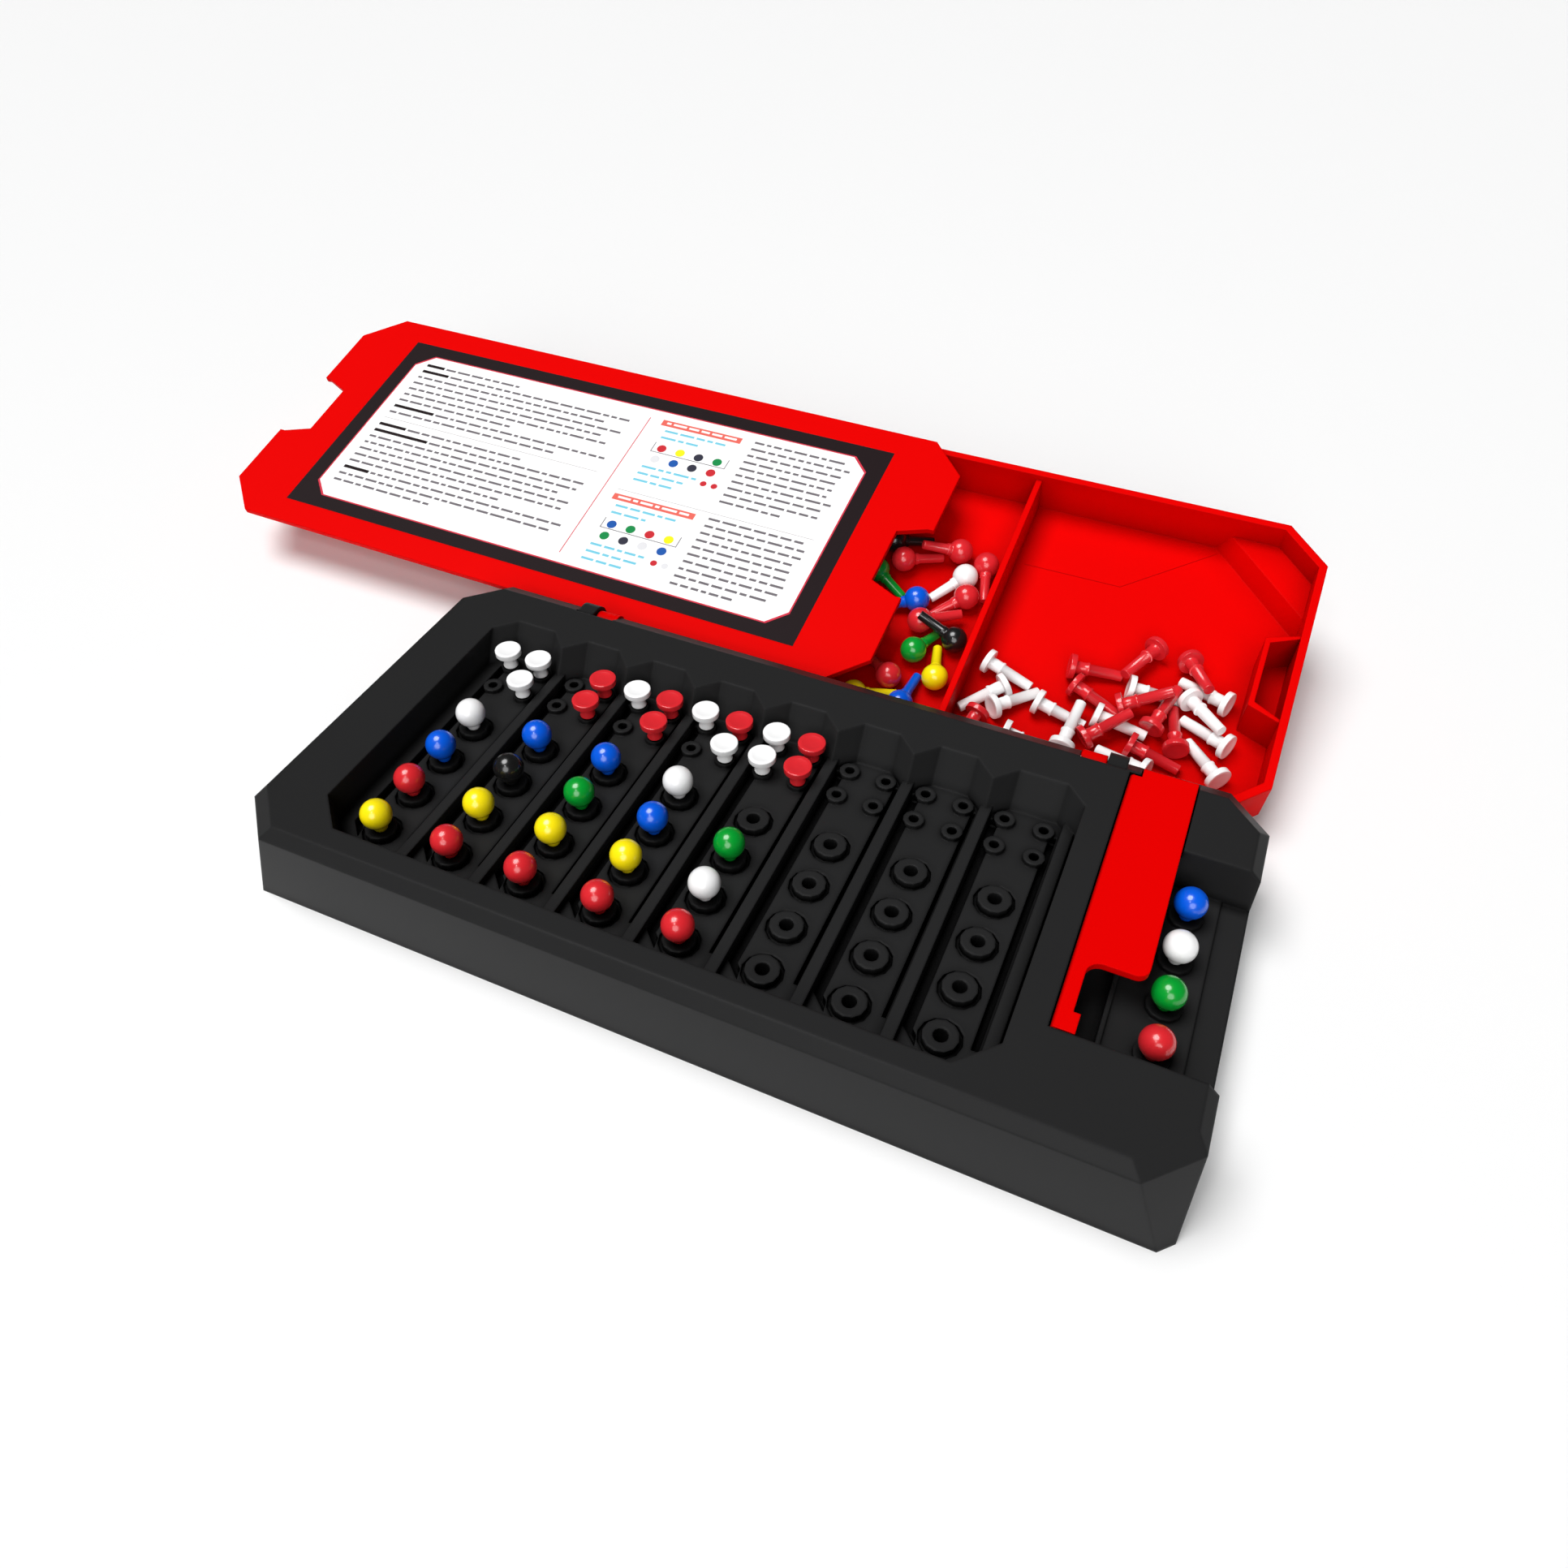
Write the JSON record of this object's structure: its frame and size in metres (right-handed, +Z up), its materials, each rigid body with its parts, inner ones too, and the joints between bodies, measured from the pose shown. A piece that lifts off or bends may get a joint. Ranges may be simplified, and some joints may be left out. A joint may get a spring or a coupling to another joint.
{
  "type": "code-breaking peg game",
  "caption": "Code-breaking peg game: a hinged black case with a sunken peg board, a flap over the secret code, a red storage tray, its lid and coloured pegs.",
  "frame": {"origin": "centre of the case's underside, on the surface that the game stands on", "axes": "+Z up, +X along the case from the first guess row to the secret pit, +Y towards the hinge and the opened tray"},
  "size_m": [0.3746, 0.2315, 0.0464],
  "materials": {
    "black_case_plastic": "satin, slightly grained",
    "black_peg_plastic": "glossy",
    "blue_peg_plastic": "glossy",
    "green_peg_plastic": "glossy",
    "pin_steel": "drawn",
    "printed_card": "printed, laminated",
    "red_case_plastic": "satin gloss",
    "red_peg_plastic": "glossy, slightly see-through",
    "white_peg_plastic": "glossy",
    "yellow_peg_plastic": "glossy"
  },
  "bodies": {
    "case": {"case_shell": "black_case_plastic", "hinge_pin_left": "pin_steel", "hinge_pin_right": "pin_steel"},
    "flap": {"code_flap": "red_case_plastic"},
    "tray": {"storage_tray": "red_case_plastic", "spare_code_pegs_black": "black_peg_plastic", "spare_code_pegs_blue": "blue_peg_plastic", "spare_code_pegs_green": "green_peg_plastic", "spare_code_pegs_red": "red_peg_plastic", "spare_code_pegs_white": "white_peg_plastic", "spare_code_pegs_yellow": "yellow_peg_plastic", "spare_key_pegs_red": "red_peg_plastic", "spare_key_pegs_white": "white_peg_plastic"},
    "lid": {"tray_lid": "red_case_plastic", "rule_card": "printed_card"},
    "guess_pegs_black": {"guess_pegs_black": "black_peg_plastic"},
    "guess_pegs_blue": {"guess_pegs_blue": "blue_peg_plastic"},
    "guess_pegs_green": {"guess_pegs_green": "green_peg_plastic"},
    "guess_pegs_red": {"guess_pegs_red": "red_peg_plastic"},
    "guess_pegs_white": {"guess_pegs_white": "white_peg_plastic"},
    "guess_pegs_yellow": {"guess_pegs_yellow": "yellow_peg_plastic"},
    "key_pegs_red": {"key_pegs_red": "red_peg_plastic"},
    "key_pegs_white": {"key_pegs_white": "white_peg_plastic"},
    "secret_peg_blue": {"secret_peg_blue": "blue_peg_plastic"},
    "secret_peg_green": {"secret_peg_green": "green_peg_plastic"},
    "secret_peg_red": {"secret_peg_red": "red_peg_plastic"},
    "secret_peg_white": {"secret_peg_white": "white_peg_plastic"}
  },
  "joints": [
    {"name": "tray_hinge", "type": "hinge", "parent": "case", "child": "tray", "pos_m": [0, 0.0577, 0.0237], "axis": [-1, 0, 0], "range_deg": [-165.7, 0]},
    {"name": "flap_hinge", "type": "hinge", "parent": "case", "child": "flap", "pos_m": [0.0888, 0, 0.0277], "axis": [0, -1, 0], "range_deg": [0, 90]},
    {"name": "lid_slide", "type": "slide", "parent": "tray", "child": "lid", "axis": [0.9999, -0.0118, -0.003], "range_m": [-0.13, 0.121]},
    {"name": "guess_pegs_black_lift", "type": "slide", "parent": "case", "child": "guess_pegs_black", "axis": [0, 0, 1], "range_m": [0, 0.018]},
    {"name": "guess_pegs_blue_lift", "type": "slide", "parent": "case", "child": "guess_pegs_blue", "axis": [0, 0, 1], "range_m": [0, 0.018]},
    {"name": "guess_pegs_green_lift", "type": "slide", "parent": "case", "child": "guess_pegs_green", "axis": [0, 0, 1], "range_m": [0, 0.018]},
    {"name": "guess_pegs_red_lift", "type": "slide", "parent": "case", "child": "guess_pegs_red", "axis": [0, 0, 1], "range_m": [0, 0.018]},
    {"name": "guess_pegs_white_lift", "type": "slide", "parent": "case", "child": "guess_pegs_white", "axis": [0, 0, 1], "range_m": [0, 0.018]},
    {"name": "guess_pegs_yellow_lift", "type": "slide", "parent": "case", "child": "guess_pegs_yellow", "axis": [0, 0, 1], "range_m": [0, 0.018]},
    {"name": "key_pegs_red_lift", "type": "slide", "parent": "case", "child": "key_pegs_red", "axis": [0, 0, 1], "range_m": [0, 0.018]},
    {"name": "key_pegs_white_lift", "type": "slide", "parent": "case", "child": "key_pegs_white", "axis": [0, 0, 1], "range_m": [0, 0.018]},
    {"name": "secret_peg_blue_lift", "type": "slide", "parent": "case", "child": "secret_peg_blue", "axis": [0, 0, 1], "range_m": [0, 0.018]},
    {"name": "secret_peg_green_lift", "type": "slide", "parent": "case", "child": "secret_peg_green", "axis": [0, 0, 1], "range_m": [0, 0.018]},
    {"name": "secret_peg_red_lift", "type": "slide", "parent": "case", "child": "secret_peg_red", "axis": [0, 0, 1], "range_m": [0, 0.018]},
    {"name": "secret_peg_white_lift", "type": "slide", "parent": "case", "child": "secret_peg_white", "axis": [0, 0, 1], "range_m": [0, 0.018]}
  ]
}
